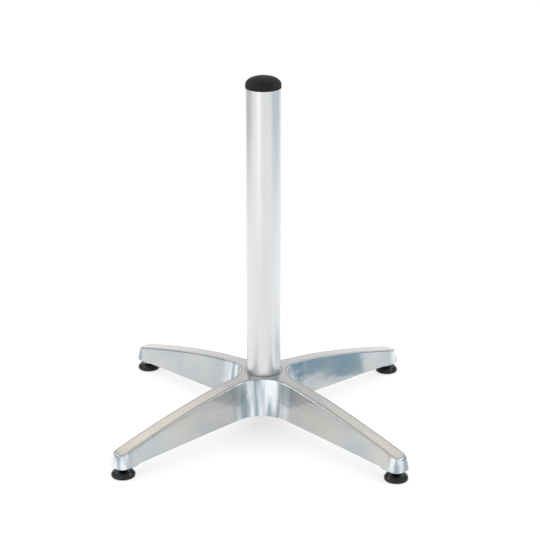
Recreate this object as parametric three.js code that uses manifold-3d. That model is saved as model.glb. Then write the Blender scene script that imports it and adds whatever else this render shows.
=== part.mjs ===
// A free-standing pedestal base: a cast X of four arms, a round column clamped to its hub by a
// tie rod, a push-in cap, and a levelling foot under each arm tip.
// Millimetres, +Z up. The origin is on the floor, on the column's axis; the arms lie on the diagonals.
import * as THREE from 'three';
import { mergeVertices } from 'three/addons/utils/BufferGeometryUtils.js';
import Module from 'manifold-3d';

const wasm = await Module();
wasm.setup();

// Driving dimensions
const FOOT_CIRCLE_RADIUS = 377;
const ARM_ANGLES = [225, 315, 45, 135];
const FIT_GAP = 0.3;

// Casting: a shell open underneath, with drafted sides
const HUB_TOP = 113;
const HUB_FLAT_RADIUS = 50;
const ARM_END_RADIUS = 385;
const ARM_DROP = 61;
const ARM_DROP_POWER = 1.45;
const ARCH_END = 25;
const ARCH_RISE = 11;
const ARCH_POWER = 1.3;
const TOP_HALF_WIDTH = 16;
const TOP_TIP_RADIUS = 17.5;
const TIP_SQUARENESS = 2.6;
const FOOT_LEVEL_HALF_WIDTH = 22.5;
const FOOT_LEVEL_TIP_RADIUS = 22.3;
const WEB_FILLET = 66;
const EDGE_RADIUS = 2.4;
const WALL = 4.5;
const CAVITY_TIP_CENTRE = 335;
const RIB_THICKNESS = 4;
const RIB_LIFT = 14;
const RIB_END = 352;
const BOSS_RADIUS = 24;
const BOSS_BOTTOM = 78;
const SPIGOT_HEIGHT = 12;
const SPIGOT_CHAMFER = 1.5;
const FOOT_BOSS_BOTTOM = 22.5;
const FOOT_BOSS_RADIUS = 21.9;
const FOOT_BOSS_LENGTH = 14;

// Column
const TUBE_RADIUS = 35;
const TUBE_BORE = 32;
const TUBE_TOP = 714;
const COUNTERBORE = 33;
const COUNTERBORE_DEPTH = 26;

// Cap
const CAP_RADIUS = 35.9;
const CAP_SIDE = 5;
const CAP_CROWN = 18;
const CAP_CROWN_POWER = 2.3;
const CAP_WALL = 3;
const CAP_SKIRT_DEPTH = 13;

// M12 tie rod and its hardware
const ROD_RADIUS = 6;
const ROD_CLEARANCE = 6.6;
const ROD_BOTTOM = 57;
const ROD_TOP = 712;
const ROD_CHAMFER = 1;
const DISC_THICKNESS = 6;
const WASHER_THICKNESS = 2.5;
const TOP_WASHER_RADIUS = 12;
const BOTTOM_WASHER_RADIUS = 22;
const SPRING_WASHER_RADIUS = 10.5;
const SPRING_WASHER_THICKNESS = 3;
const NUT_FLATS = 19;
const NUT_HEIGHT = 10;
const HARDWARE_GAP = 0.2;

// Levelling foot with an M10 stud
const STUD_RADIUS = 4.7;
const STUD_TOP = 40;
const STUD_BORE = 5.2;
const STUD_BORE_TOP = 47;
const STUD_CHAMFER = 1.2;
const INSERT_RADIUS = 7.9;
const INSERT_LENGTH = 13;
const COLLAR_BOTTOM = 13;
const COLLAR_TOP = 16.5;
const COLLAR_FLATS = 17;
const STUD_HEAD_RADIUS = 8;
const STUD_HEAD_BOTTOM = 4.6;
const STUD_HEAD_TOP = 9;
const PAD_RADIUS = 24;
const PAD_TOP = 12.6;
const PAD_TOP_RADIUS = 18.5;
const PAD_RIM_TOP = 7;
const PAD_RIM_BOTTOM = 0.8;
const PAD_CHAMFER = 1.4;
const HEAD_CLEARANCE = 0.6;
const SOLE_RADIUS = 19;
const SOLE_THICKNESS = 4;
const SOLE_CHAMFER = 0.8;

const ROUND_SEGMENTS = 40;
const FOOT_SEGMENTS = 32;
const SMALL_SEGMENTS = 16;
const WEB_STEPS = 4;
const SIDE_STEPS = 6;
const TIP_STEPS = 5;
const CROWN_STEPS = 6;
const CROWN_INSIDE_STEPS = 4;
const RIB_STEPS = 8;
const JOIN_OVERLAP = 1;
const CUT_OVERRUN = 10;

const ALUMINIUM_CASTING = { color: 0xc4c6c8, roughness: 0.25, metalness: 1 };
const ALUMINIUM_TUBE = { color: 0xd0d3d6, roughness: 0.22, metalness: 1 };
const STEEL = { color: 0xa8aaad, roughness: 0.35, metalness: 1 };
const BLACK_STEEL = { color: 0x1c1c1e, roughness: 0.4, metalness: 0.9 };
const BRASS = { color: 0xb8963e, roughness: 0.35, metalness: 1 };
const BLACK_PLASTIC = { color: 0x17181a, roughness: 0.35, metalness: 0 };
const MATT_PLASTIC = { color: 0x2d2d2b, roughness: 0.6, metalness: 0 };

const radians = THREE.MathUtils.degToRad;
const lerp = THREE.MathUtils.lerp;
const base = new THREE.Group();

// Height of the arms' top face and of their arched lower edge, at a distance from the column's axis
function topHeight(radius) {
  const along = Math.max(0, radius - HUB_FLAT_RADIUS) / (ARM_END_RADIUS - HUB_FLAT_RADIUS);
  return HUB_TOP - ARM_DROP * along ** ARM_DROP_POWER;
}

function archHeight(radius) {
  return ARCH_END + ARCH_RISE * (1 - Math.min(1, radius / FOOT_CIRCLE_RADIUS) ** ARCH_POWER);
}

function mergedPositions(geometry) {
  const plain = geometry.clone();
  plain.deleteAttribute('normal');
  plain.deleteAttribute('uv');
  return mergeVertices(plain, 1e-4);
}

function toSolid(geometry) {
  const merged = mergedPositions(geometry);
  const triangles = [];
  const index = merged.index.array;
  for (let i = 0; i < index.length; i += 3) {
    const [a, b, c] = index.slice(i, i + 3);
    if (a !== b && b !== c && c !== a) triangles.push(a, b, c);
  }
  return new wasm.Manifold(new wasm.Mesh({
    numProp: 3,
    vertProperties: new Float32Array(merged.attributes.position.array),
    triVerts: new Uint32Array(triangles),
  }));
}

function toGeometry(solid) {
  const mesh = solid.getMesh();
  const geometry = new THREE.BufferGeometry();
  geometry.setAttribute('position', new THREE.BufferAttribute(mesh.vertProperties, 3));
  geometry.setIndex(new THREE.BufferAttribute(mesh.triVerts, 1));
  geometry.computeVertexNormals();
  return geometry;
}

function addPart(name, geometry, look, x = 0, y = 0) {
  const mesh = new THREE.Mesh(geometry, new THREE.MeshStandardMaterial(look));
  mesh.name = name;
  mesh.position.set(x, y, 0);
  base.add(mesh);
}

// Turned solid from an outline of [radius, height] points, listed upwards on its outer side
function turned(outline, segments = ROUND_SEGMENTS) {
  const points = outline.map(([radius, height]) => new THREE.Vector2(radius, height));
  if (outline[0][0] > 0) points.push(points[0].clone());
  return new THREE.LatheGeometry(points, segments).rotateX(Math.PI / 2);
}

function ring(outer, inner, bottom, top, segments = ROUND_SEGMENTS) {
  return turned([[inner, bottom], [outer, bottom], [outer, top], [inner, top]], segments);
}

function plug(radius, bottom, top, segments = ROUND_SEGMENTS) {
  return turned([[0, bottom], [radius, bottom], [radius, top], [0, top]], segments);
}

function hexagon(flats, bottom, top) {
  const prism = new THREE.CylinderGeometry(flats / Math.sqrt(3), flats / Math.sqrt(3), top - bottom, 6);
  return prism.rotateX(Math.PI / 2).translate(0, 0, (bottom + top) / 2);
}

// One side of an arm's squarish tip as [along, across] points, from its flank to its end
function tipQuarter(centre, radius) {
  const power = 2 / TIP_SQUARENESS;
  return Array.from({ length: TIP_STEPS + 1 }, (_, i) => {
    const angle = radians(lerp(90, 0, i / TIP_STEPS));
    return [centre + radius * Math.cos(angle) ** power, radius * Math.sin(angle) ** power];
  });
}

// Half of one arm's outline as [along, across] points: the web between two arms, the side, the tip
function halfOutline(halfWidth, tipRadius, tipCentre, fillet) {
  const centre = halfWidth + fillet;
  const points = [];
  for (let i = 0; i <= WEB_STEPS; i += 1) {
    const angle = radians(lerp(225, 270, i / WEB_STEPS));
    points.push([centre + fillet * Math.cos(angle), centre + fillet * Math.sin(angle)]);
  }
  for (let i = 1; i < SIDE_STEPS; i += 1) {
    const t = i / SIDE_STEPS;
    points.push([lerp(centre, tipCentre, t), lerp(halfWidth, tipRadius, t)]);
  }
  return [...points, ...tipQuarter(tipCentre, tipRadius)];
}

// The whole X outline, anticlockwise, as [x, y] points: each arm runs from its right web to its left
function crossOutline(half) {
  const last = half.length - 1;
  const right = half.map(([along, across]) => [along, -across]);
  const left = half.slice(1, last).reverse();
  const points = [];
  for (const angle of [45, 135, 225, 315]) {
    const cos = Math.cos(radians(angle));
    const sin = Math.sin(radians(angle));
    for (const [along, across] of [...right, ...left]) {
      points.push([along * cos - across * sin, along * sin + across * cos]);
    }
  }
  return points;
}

// Triangles of an X-shaped face: strips across each arm and a square in the middle
function crossFace(firstPoint, centrePoint, half, faces) {
  const tip = half.length - 1;
  const count = 8 * tip;
  for (let arm = 0; arm < 4; arm += 1) {
    const at = (k) => firstPoint + ((arm * 2 * tip + k) % count);
    for (let k = 0; k < tip; k += 1) {
      faces.push([at(k), at(k + 1), at(2 * tip - k)]);
      if (k < tip - 1) faces.push([at(k + 1), at(2 * tip - k - 1), at(2 * tip - k)]);
    }
    faces.push([centrePoint, at(0), at(2 * tip)]);
  }
}

// Closed X-shaped solid through outlines listed from its top down, each with its own height rule
function crossSolid(levels) {
  const count = crossOutline(levels[0].half).length;
  const vertices = [];
  for (const { half, height } of levels) {
    for (const [x, y] of crossOutline(half)) vertices.push([x, y, height(Math.hypot(x, y))]);
  }
  const topCentre = vertices.push([0, 0, levels[0].height(0)]) - 1;
  const bottomCentre = vertices.push([0, 0, levels.at(-1).height(0)]) - 1;
  const top = [];
  const bottom = [];
  const sides = [];
  crossFace(0, topCentre, levels[0].half, top);
  crossFace((levels.length - 1) * count, bottomCentre, levels[0].half, bottom);
  for (let level = 0; level < levels.length - 1; level += 1) {
    for (let i = 0; i < count; i += 1) {
      const next = (i + 1) % count;
      const upper = level * count;
      const lower = upper + count;
      sides.push([upper + i, lower + i, lower + next], [upper + i, lower + next, upper + next]);
    }
  }
  const faces = [...top, ...sides, ...bottom.map(([a, b, c]) => [a, c, b])];
  const geometry = new THREE.BufferGeometry();
  geometry.setAttribute('position', new THREE.Float32BufferAttribute(vertices.flat(), 3));
  geometry.setIndex(faces.flat());
  return toSolid(geometry);
}

function outerLevel(inset, depth) {
  const half = halfOutline(TOP_HALF_WIDTH - inset, TOP_TIP_RADIUS - inset, FOOT_CIRCLE_RADIUS,
    WEB_FILLET + inset);
  return { half, height: (radius) => topHeight(radius) - depth };
}

function castingOutside() {
  const corner = EDGE_RADIUS * (1 - Math.SQRT1_2);
  const foot = halfOutline(FOOT_LEVEL_HALF_WIDTH, FOOT_LEVEL_TIP_RADIUS, FOOT_CIRCLE_RADIUS, WEB_FILLET);
  return crossSolid([
    outerLevel(EDGE_RADIUS, 0),
    outerLevel(corner, corner),
    outerLevel(0, EDGE_RADIUS),
    { half: foot, height: archHeight },
  ]);
}

function castingCavity() {
  const inside = (halfWidth) => halfOutline(halfWidth - WALL, halfWidth - WALL, CAVITY_TIP_CENTRE,
    WEB_FILLET + WALL);
  const open = inside(FOOT_LEVEL_HALF_WIDTH);
  return crossSolid([
    { half: inside(TOP_HALF_WIDTH), height: (radius) => topHeight(radius) - WALL },
    { half: open, height: archHeight },
    { half: open, height: () => 0 },
  ]);
}

// Stiffening rib along the middle of one arm, from the hub's boss to the solid tip
function armRib(angle) {
  const stations = Array.from({ length: RIB_STEPS + 1 },
    (_, i) => lerp(BOSS_RADIUS - JOIN_OVERLAP, RIB_END, i / RIB_STEPS));
  const roof = stations.map((along) => new THREE.Vector2(along, topHeight(along) - WALL / 2));
  const lower = stations.map((along) => new THREE.Vector2(along, archHeight(along) + RIB_LIFT));
  const shape = new THREE.Shape([...lower, ...roof.reverse()]);
  const rib = new THREE.ExtrudeGeometry(shape, { depth: RIB_THICKNESS, bevelEnabled: false });
  rib.translate(0, 0, -RIB_THICKNESS / 2).rotateX(Math.PI / 2).rotateZ(radians(angle));
  return toSolid(rib);
}

function footPlace(angle) {
  return [FOOT_CIRCLE_RADIUS * Math.cos(radians(angle)), FOOT_CIRCLE_RADIUS * Math.sin(radians(angle))];
}

// Level pad under an arm's tip: the tip's own end outside, a round end towards the hub
function footBoss(angle) {
  const left = tipQuarter(FOOT_CIRCLE_RADIUS, FOOT_BOSS_RADIUS);
  const right = left.slice(0, -1).reverse().map(([along, across]) => [along, -across]);
  const end = [...left, ...right].map(([along, across]) => new THREE.Vector2(along, across));
  const shape = new THREE.Shape(end);
  const innerCentre = FOOT_CIRCLE_RADIUS - FOOT_BOSS_LENGTH;
  shape.absarc(innerCentre, 0, FOOT_BOSS_RADIUS, radians(270), radians(90), true);
  const depth = ARCH_END + JOIN_OVERLAP - FOOT_BOSS_BOTTOM;
  const boss = new THREE.ExtrudeGeometry(shape, { depth, bevelEnabled: false, curveSegments: SIDE_STEPS });
  return toSolid(boss.rotateZ(radians(angle)).translate(0, 0, FOOT_BOSS_BOTTOM));
}

// Pocket for the threaded insert, with a blind clearance bore for the stud above it
function footBore(angle) {
  const [x, y] = footPlace(angle);
  const pocket = INSERT_RADIUS + FIT_GAP;
  const shoulder = FOOT_BOSS_BOTTOM + INSERT_LENGTH + 2 * FIT_GAP;
  const clearance = STUD_RADIUS + 1;
  const bore = turned([[0, 0], [pocket, 0], [pocket, shoulder], [clearance, shoulder],
    [clearance, STUD_BORE_TOP], [0, STUD_BORE_TOP]], SMALL_SEGMENTS);
  return toSolid(bore.translate(x, y, 0));
}

function casting() {
  const centreBoss = toSolid(plug(BOSS_RADIUS, BOSS_BOTTOM, HUB_TOP - WALL / 2));
  let hollow = castingCavity().subtract(centreBoss);
  for (const angle of ARM_ANGLES) hollow = hollow.subtract(armRib(angle));
  const spigotRadius = TUBE_BORE - FIT_GAP;
  const spigotTop = HUB_TOP + SPIGOT_HEIGHT;
  const spigotRoot = HUB_TOP - JOIN_OVERLAP;
  const spigot = turned([[0, spigotRoot], [spigotRadius, spigotRoot],
    [spigotRadius, spigotTop - SPIGOT_CHAMFER], [spigotRadius - SPIGOT_CHAMFER, spigotTop],
    [0, spigotTop]]);
  let body = castingOutside().subtract(hollow).add(toSolid(spigot));
  for (const angle of ARM_ANGLES) body = body.add(footBoss(angle)).subtract(footBore(angle));
  const rodHole = plug(ROD_CLEARANCE, BOSS_BOTTOM - CUT_OVERRUN, spigotTop + CUT_OVERRUN, SMALL_SEGMENTS);
  body = body.subtract(toSolid(rodHole));
  return toGeometry(body);
}

function columnTube() {
  const shoulder = TUBE_TOP - COUNTERBORE_DEPTH;
  return turned([[TUBE_BORE, HUB_TOP + HARDWARE_GAP], [TUBE_RADIUS, HUB_TOP + HARDWARE_GAP],
    [TUBE_RADIUS, TUBE_TOP], [COUNTERBORE, TUBE_TOP], [COUNTERBORE, shoulder], [TUBE_BORE, shoulder]]);
}

// Cap: a crowned head that covers the tube's rim, and a hollow skirt that pushes into the counterbore
function columnCap() {
  const seat = TUBE_TOP + HARDWARE_GAP;
  const skirtOuter = COUNTERBORE - FIT_GAP;
  const skirtInner = skirtOuter - CAP_WALL;
  const skirtBottom = TUBE_TOP - CAP_SKIRT_DEPTH;
  const crown = (radius, rise) => seat + CAP_SIDE
    + rise * (1 - (radius / CAP_RADIUS) ** CAP_CROWN_POWER) ** (1 / CAP_CROWN_POWER);
  const outer = Array.from({ length: CROWN_STEPS + 1 }, (_, i) => {
    const radius = CAP_RADIUS * Math.cos((i / CROWN_STEPS) * (Math.PI / 2));
    return i === CROWN_STEPS ? [0, crown(0, CAP_CROWN)] : [radius, crown(radius, CAP_CROWN)];
  });
  const inner = Array.from({ length: CROWN_INSIDE_STEPS }, (_, i) => {
    const radius = (skirtInner * i) / CROWN_INSIDE_STEPS;
    return [radius, crown(radius, CAP_CROWN - CAP_WALL) - CAP_WALL / 2];
  });
  return turned([...inner, [skirtInner, seat + CAP_SIDE], [skirtInner, skirtBottom],
    [skirtOuter, skirtBottom], [skirtOuter, seat], [CAP_RADIUS, seat], ...outer]);
}

function nut(bottom) {
  const top = bottom + NUT_HEIGHT;
  const bore = plug(ROD_RADIUS + FIT_GAP, bottom - CUT_OVERRUN, top + CUT_OVERRUN, SMALL_SEGMENTS);
  return toGeometry(toSolid(hexagon(NUT_FLATS, bottom, top)).subtract(toSolid(bore)));
}

function tieRod() {
  const tip = ROD_RADIUS - ROD_CHAMFER;
  return turned([[0, ROD_BOTTOM], [tip, ROD_BOTTOM], [ROD_RADIUS, ROD_BOTTOM + ROD_CHAMFER],
    [ROD_RADIUS, ROD_TOP - ROD_CHAMFER], [tip, ROD_TOP], [0, ROD_TOP]], SMALL_SEGMENTS);
}

// The rod's hardware, stacked upwards from the tube's shoulder and downwards from the hub's boss
function addClamp() {
  const washer = (radius, bottom, thickness) => ring(radius, ROD_CLEARANCE, bottom, bottom + thickness,
    SMALL_SEGMENTS);
  addPart('tie_rod', tieRod(), STEEL);
  let level = TUBE_TOP - COUNTERBORE_DEPTH + HARDWARE_GAP;
  addPart('anchor_disc', ring(COUNTERBORE - FIT_GAP, ROD_CLEARANCE, level, level + DISC_THICKNESS), STEEL);
  level += DISC_THICKNESS + HARDWARE_GAP;
  addPart('top_washer', washer(TOP_WASHER_RADIUS, level, WASHER_THICKNESS), STEEL);
  level += WASHER_THICKNESS + HARDWARE_GAP;
  addPart('top_spring_washer', washer(SPRING_WASHER_RADIUS, level, SPRING_WASHER_THICKNESS), STEEL);
  level += SPRING_WASHER_THICKNESS + HARDWARE_GAP;
  addPart('top_nut', nut(level), STEEL);
  level = BOSS_BOTTOM - HARDWARE_GAP - WASHER_THICKNESS;
  addPart('bottom_washer', washer(BOTTOM_WASHER_RADIUS, level, WASHER_THICKNESS), STEEL);
  level -= HARDWARE_GAP + SPRING_WASHER_THICKNESS;
  addPart('bottom_spring_washer', washer(SPRING_WASHER_RADIUS, level, SPRING_WASHER_THICKNESS), STEEL);
  level -= HARDWARE_GAP + NUT_HEIGHT;
  addPart('bottom_nut', nut(level), STEEL);
}

function footInsert() {
  const bottom = FOOT_BOSS_BOTTOM + FIT_GAP;
  return ring(INSERT_RADIUS, STUD_BORE, bottom, bottom + INSERT_LENGTH, SMALL_SEGMENTS);
}

// Stud: a head held inside the pad, a hexagonal collar for a spanner, and the threaded shank
function footStud() {
  const shaft = turned([[0, STUD_HEAD_BOTTOM], [STUD_HEAD_RADIUS, STUD_HEAD_BOTTOM],
    [STUD_HEAD_RADIUS, STUD_HEAD_TOP], [STUD_RADIUS, STUD_HEAD_TOP],
    [STUD_RADIUS, STUD_TOP - STUD_CHAMFER], [STUD_RADIUS - STUD_CHAMFER, STUD_TOP],
    [0, STUD_TOP]], SMALL_SEGMENTS);
  return toGeometry(toSolid(shaft).add(toSolid(hexagon(COLLAR_FLATS, COLLAR_BOTTOM, COLLAR_TOP))));
}

function footPad() {
  const socketRadius = STUD_HEAD_RADIUS + HEAD_CLEARANCE;
  const socketTop = STUD_HEAD_TOP + HEAD_CLEARANCE;
  const recess = SOLE_RADIUS + FIT_GAP;
  const recessTop = SOLE_THICKNESS + FIT_GAP;
  return turned([[STUD_BORE, socketTop], [socketRadius, socketTop], [socketRadius, recessTop],
    [recess, recessTop], [recess, PAD_RIM_BOTTOM],
    [PAD_RADIUS - PAD_CHAMFER, PAD_RIM_BOTTOM], [PAD_RADIUS, PAD_RIM_BOTTOM + PAD_CHAMFER],
    [PAD_RADIUS, PAD_RIM_TOP - PAD_CHAMFER], [PAD_RADIUS - PAD_CHAMFER, PAD_RIM_TOP],
    [PAD_TOP_RADIUS, PAD_TOP - PAD_CHAMFER], [PAD_TOP_RADIUS - PAD_CHAMFER, PAD_TOP],
    [STUD_BORE, PAD_TOP]], FOOT_SEGMENTS);
}

function footSole() {
  return turned([[0, 0], [SOLE_RADIUS - SOLE_CHAMFER, 0], [SOLE_RADIUS, SOLE_CHAMFER],
    [SOLE_RADIUS, SOLE_THICKNESS], [0, SOLE_THICKNESS]], FOOT_SEGMENTS);
}

addPart('base_casting', casting(), ALUMINIUM_CASTING);
addPart('column_tube', columnTube(), ALUMINIUM_TUBE);
addPart('column_cap', columnCap(), MATT_PLASTIC);
addClamp();
ARM_ANGLES.forEach((angle, i) => {
  const name = `foot_${i + 1}`;
  const [x, y] = footPlace(angle);
  addPart(`${name}_insert`, footInsert(), BRASS, x, y);
  addPart(`${name}_stud`, footStud(), BLACK_STEEL, x, y);
  addPart(`${name}_pad`, footPad(), BLACK_PLASTIC, x, y);
  addPart(`${name}_sole`, footSole(), BLACK_PLASTIC, x, y);
});

export default base;
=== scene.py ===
"""Looks of the pedestal base: fine meshes, procedural materials, studio and camera."""
import math

import bpy
import numpy as np
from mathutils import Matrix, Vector


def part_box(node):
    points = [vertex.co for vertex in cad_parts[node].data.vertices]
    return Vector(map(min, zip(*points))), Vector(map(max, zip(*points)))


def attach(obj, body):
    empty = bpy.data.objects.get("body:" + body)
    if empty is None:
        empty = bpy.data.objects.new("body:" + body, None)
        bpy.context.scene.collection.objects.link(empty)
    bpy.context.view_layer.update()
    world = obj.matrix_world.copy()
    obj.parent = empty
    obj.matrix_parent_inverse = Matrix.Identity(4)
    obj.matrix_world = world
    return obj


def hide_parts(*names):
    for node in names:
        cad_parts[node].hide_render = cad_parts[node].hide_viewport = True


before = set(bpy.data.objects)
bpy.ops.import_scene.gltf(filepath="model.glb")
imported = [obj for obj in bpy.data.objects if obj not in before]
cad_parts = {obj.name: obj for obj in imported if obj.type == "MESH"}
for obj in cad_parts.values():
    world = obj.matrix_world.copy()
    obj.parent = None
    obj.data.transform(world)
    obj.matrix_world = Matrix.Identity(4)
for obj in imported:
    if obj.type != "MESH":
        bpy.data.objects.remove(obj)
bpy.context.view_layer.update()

MM = 0.001


def centre_of(node):
    low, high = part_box(node)
    return (low + high) / 2 / MM


# Driving sizes in millimetres, from the frame where the frame has them
FEET = ["foot_1", "foot_2", "foot_3", "foot_4"]
FOOT_PLACES = [centre_of(f"{foot}_sole") for foot in FEET]
FOOT_CIRCLE = math.hypot(FOOT_PLACES[0].x, FOOT_PLACES[0].y)
TUBE_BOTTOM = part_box("column_tube")[0].z / MM
TUBE_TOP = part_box("column_tube")[1].z / MM
TUBE_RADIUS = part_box("column_tube")[1].x / MM
CAP_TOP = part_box("column_cap")[1].z / MM
CAP_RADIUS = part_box("column_cap")[1].x / MM

# Casting, with the CAD part's rules and main sizes and with finer edges. The top edge is rounder than the
# CAD part's 2.4 mm. The groove, the seat ring, the round lip, the roof fillet and the draft on the ribs
# and the boss are only here.
HUB_TOP = 113.0
HUB_FLAT_RADIUS = 50.0
ARM_END_RADIUS = 385.0
ARM_DROP = 61.0
ARM_DROP_POWER = 1.45
ARCH_END = 25.0
ARCH_RISE = 11.0
ARCH_POWER = 1.3
TOP_HALF_WIDTH = 16.0
TOP_TIP_RADIUS = 17.5
TIP_SQUARENESS = 2.6
FOOT_LEVEL_HALF_WIDTH = 22.5
FOOT_LEVEL_TIP_RADIUS = 22.3
WEB_FILLET = 66.0
EDGE_RADIUS = 3.3
GROOVE_WIDTH = 1.7
GROOVE_DEPTH = 0.3
GROOVE_SECTION = ((1.0, 0.0), (0.65, 1.0), (0.35, 1.0))
SEAT_RADIUS = 38.5
SEAT_WIDTH = 2.0
SEAT_DEPTH = 0.6
SIDE_LEAN = 82.0
WALL = 4.5
CAVITY_TIP_CENTRE = 335.0
ROOF_FILLET = 3.0
LIP_RADIUS = 1.2
RIB_THICKNESS = 4.0
RIB_LIFT = 14.0
RIB_DRAFT = 1.3
RIB_END_GAP = 24.0
BOSS_RADIUS = 24.0
BOSS_BOTTOM = 78.0
BOSS_DRAFT = 2.0
BOSS_ROUNDING = 1.5
SPIGOT_RADIUS = 31.7
SPIGOT_TOP = 125.0
SPIGOT_ROUNDING = 1.2
FOOT_BOSS_BOTTOM = 22.5
FOOT_BOSS_RADIUS = 21.9
FOOT_BOSS_LENGTH = 14.0
INSERT_POCKET = 8.2
INSERT_GAP = 0.3
STUD_BORE = 5.7
STUD_BORE_SPARE = 7.0
ROD_CLEARANCE = 6.6
JOIN_OVERLAP = 1.0
CUT_OVERRUN = 10.0

# Column and cap
TUBE_WALL = 3.0
COUNTERBORE_WALL = 2.0
COUNTERBORE_DEPTH = 26.0
CAP_SIDE = 5.0
CAP_CROWN_POWER = 2.3
CAP_GAP = 0.2
CAP_WALL = 3.0
SKIRT_INSET = 2.3
SKIRT_LENGTH = 13.0
CRUSH_RIBS = 16
CRUSH_RIB_HEIGHT = 0.7

# Screws: the tie rod is M12 and the feet's studs are M10
ROD_RADIUS = 6.0
ROD_PITCH = 1.75
ROD_THREAD_DEPTH = 0.9
ROD_THREAD_LENGTH = 70.0
NUT_BORE = 6.15
NUT_THREAD_DEPTH = 0.45
STUD_RADIUS = 4.7
STUD_PITCH = 1.5
STUD_THREAD_DEPTH = 0.75
INSERT_BORE = 5.0
INSERT_THREAD_DEPTH = 0.35
SPLIT_SPRING = 0.9

# Foot: heights above the floor
HEAD_RADIUS = 8.0
HEAD_TOP = 9.0
COLLAR_BOTTOM = 13.0
COLLAR_TOP = 16.5
COLLAR_FLATS = 17.0
PAD_BORE = 5.2
PAD_POCKET = 8.6
PAD_RECESS = 19.3
PAD_CONE = 18.3
PAD_GROOVE = 3.0
PAD_GROOVE_DEPTH = 0.35
SOLE_RING_PITCH = 2.4

# Mesh density
WEB_STEPS = 14
SIDE_STEPS = 40
TIP_STEPS = 14
ROUND = 128
SMALL_ROUND = 48

# Metal tones with painted reflections: blue-grey and warm on the flanks, grey and beige on the top faces,
# dark and bright streaks at the bends
BLUE_PAINTED_REFLECTION = (0.42, 0.465, 0.495)
WARM_PAINTED_REFLECTION = (0.54, 0.535, 0.52)
TOP_GREY_PAINTED_REFLECTION = (0.47, 0.47, 0.47)
TOP_BEIGE_PAINTED_REFLECTION = (0.60, 0.58, 0.53)
DARK_PAINTED_REFLECTION_STREAK = (0.30, 0.37, 0.42)
BRIGHT_PAINTED_REFLECTION_STREAK = (0.75, 0.78, 0.81)

# Studio, in metres and watts
FLOOR_REACH = 30.0
CARD_DISTANCE = 1.8
CARD_HEIGHT = 1.6
SOFTBOX_POWER = 22.0
WARM_POWER = 0.9
BACK_POWER = 0.5
HORIZON = (1.0, 1.0, 1.0)
ZENITH = (0.76, 0.75, 0.73)
SKY_STRENGTH = 1.15
FLOOR_GLOW = 0.58

# Camera: lengths in foot-circle radii, angles in degrees, lens and sensor in millimetres
CAMERA_DISTANCE = 8.662
CAMERA_HEIGHT = 4.044
CAMERA_AZIMUTH = 1.85
CAMERA_HEADING = 1.62
CAMERA_PITCH = 20.03
LENS = 113.93
SENSOR = 36.0


# ---------------------------------------------------------------- mesh helpers

def lerp(a, b, t):
    return a + (b - a) * t


def ring_faces(first, second, count):
    """Quads between two rings of points, given the index of each ring's first point."""
    following = [(i + 1) % count for i in range(count)]
    return [(first + i, first + j, second + j, second + i) for i, j in zip(range(count), following)]


def revolve(rows, segments=ROUND):
    """Mesh of (radius, height) rows turned round Z, listed upwards on the outer side.
    Either may vary with the angle. A solid one starts and ends at radius 0; others close on themselves."""
    angles = np.arange(segments) * 2 * math.pi / segments
    solid = np.isscalar(rows[0][0]) and rows[0][0] == 0
    rings = rows[1:-1] if solid else rows
    points = []
    for radius, height in rings:
        ring = np.empty((segments, 3))
        ring[:, 0] = radius * np.cos(angles)
        ring[:, 1] = radius * np.sin(angles)
        ring[:, 2] = height
        points.append(ring)
    faces = []
    for k in range(len(rings) - 1):
        faces += ring_faces(k * segments, (k + 1) * segments, segments)
    last = (len(rings) - 1) * segments
    vertices = np.concatenate(points)
    if not solid:
        return vertices, faces + ring_faces(last, 0, segments)
    low = len(vertices)
    vertices = np.vstack([vertices, [0, 0, rows[0][1]], [0, 0, rows[-1][1]]])
    for i in range(segments):
        j = (i + 1) % segments
        faces.append((low, j, i))
        faces.append((low + 1, last + i, last + j))
    return vertices, faces


def rounded(profile, radius, steps=4):
    """The same outline with its corners, except those on the axis, rounded by one radius or by a list."""
    result = []
    count = len(profile)
    radii = [radius] * count if np.isscalar(radius) else radius
    for k, point in enumerate(profile):
        p = np.array(point, float)
        before = np.array(profile[k - 1], float) - p
        after = np.array(profile[(k + 1) % count], float) - p
        reach = min(radii[k], np.linalg.norm(before) * 0.45, np.linalg.norm(after) * 0.45)
        if point[0] == 0 or reach < 0.02:
            result.append((float(p[0]), float(p[1])))
            continue
        start = p + before / np.linalg.norm(before) * reach
        end = p + after / np.linalg.norm(after) * reach
        for i in range(steps + 1):
            t = i / steps
            q = (1 - t) ** 2 * start + 2 * t * (1 - t) * p + t ** 2 * end
            result.append((float(q[0]), float(q[1])))
    return result


def turned_about_axis(vertices, angle):
    c, s = math.cos(angle), math.sin(angle)
    return vertices @ np.array([[c, s, 0], [-s, c, 0], [0, 0, 1]])


def moved(shape, x, y):
    vertices, faces = shape
    return vertices + np.array([x, y, 0.0]), faces


def merged(shapes):
    vertices, faces = [], []
    for points, polygons in shapes:
        offset = sum(len(v) for v in vertices)
        vertices.append(points)
        faces += [tuple(i + offset for i in face) for face in polygons]
    return np.concatenate(vertices), faces


def mesh_object(name, shape, materials, second=(), third=()):
    """A mesh in the scene; faces listed in second or third take that material instead of the first."""
    vertices, faces = shape
    mesh = bpy.data.meshes.new(name)
    mesh.from_pydata((np.asarray(vertices) * MM).tolist(), [], faces)
    for material in materials:
        mesh.materials.append(material)
    for index, chosen in ((1, second), (2, third)):
        for i in chosen:
            mesh.polygons[i].material_index = index
    mesh.update()
    made = bpy.data.objects.new(name, mesh)
    bpy.context.scene.collection.objects.link(made)
    return made


def finished(piece, body, node, sharp=38):
    """Smooth shading with crisp corners, then the body it hangs from; the CAD node it stands for is
    hidden.
    """
    piece.data.shade_smooth()
    piece.data.set_sharp_from_angle(angle=math.radians(sharp))
    normals = piece.modifiers.new("even_normals", "WEIGHTED_NORMAL")
    normals.keep_sharp = True
    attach(piece, body)
    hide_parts(node)


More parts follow.
